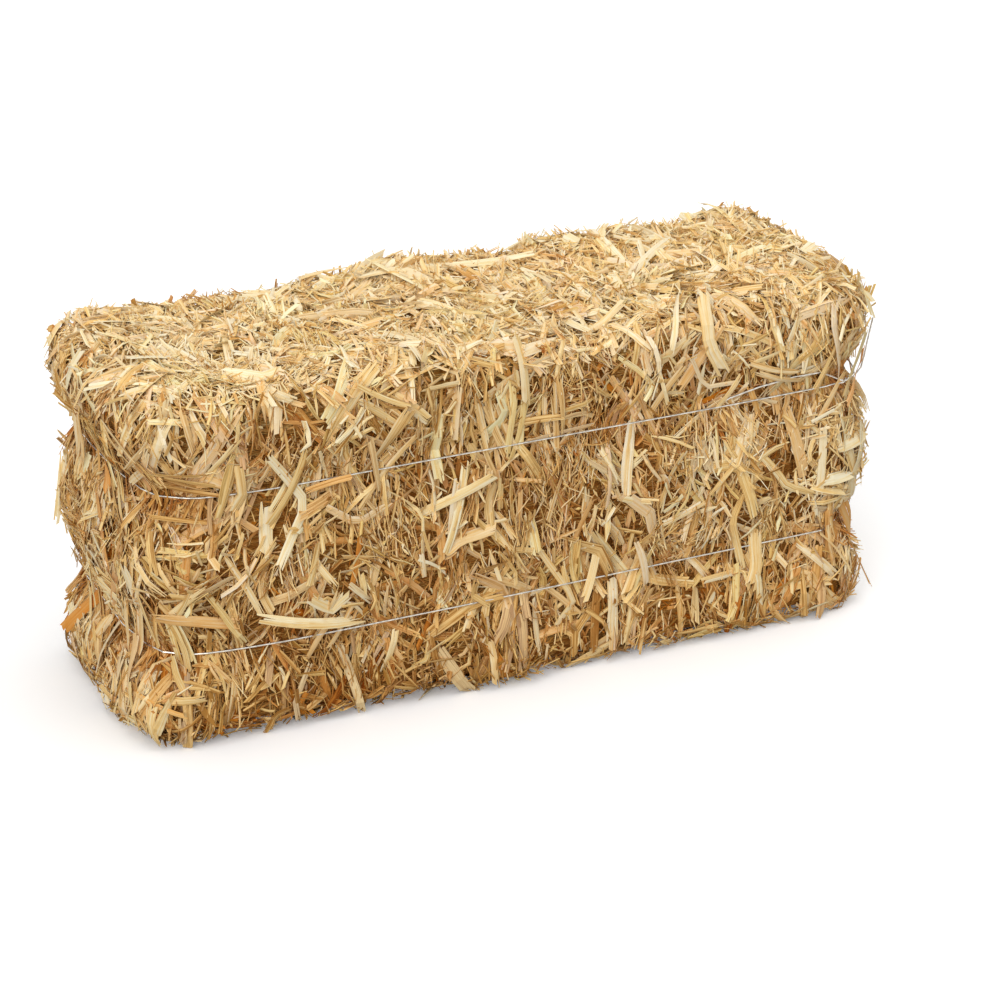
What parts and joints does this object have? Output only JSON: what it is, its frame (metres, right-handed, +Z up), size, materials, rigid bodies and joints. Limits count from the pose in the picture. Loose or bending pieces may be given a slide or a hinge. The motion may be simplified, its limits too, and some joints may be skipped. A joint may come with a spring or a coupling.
{
  "type": "decorative straw bale",
  "caption": "Small oblong bale of pressed chopped straw, tied lengthwise with thin galvanised wire that draws its ends in, for display on a flat surface.",
  "frame": {"origin": "middle of the bale's outline at its underside, on the surface that it rests on", "axes": "+X along the bale, +Z up, -Y out of the long front face"},
  "size_m": [0.7213, 0.2592, 0.3216],
  "materials": {
    "straw": "dry matt straw with a faint waxy sheen on the broad split stems",
    "tie_wire": "dull galvanised"
  },
  "bodies": {
    "root": {"flake_1": "straw", "flake_2": "straw", "flake_3": "straw", "flake_4": "straw", "flake_5": "straw", "flake_6": "straw", "flake_7": "straw", "flake_8": "straw", "lower_wire": "tie_wire", "upper_wire": "tie_wire"}
  },
  "joints": []
}
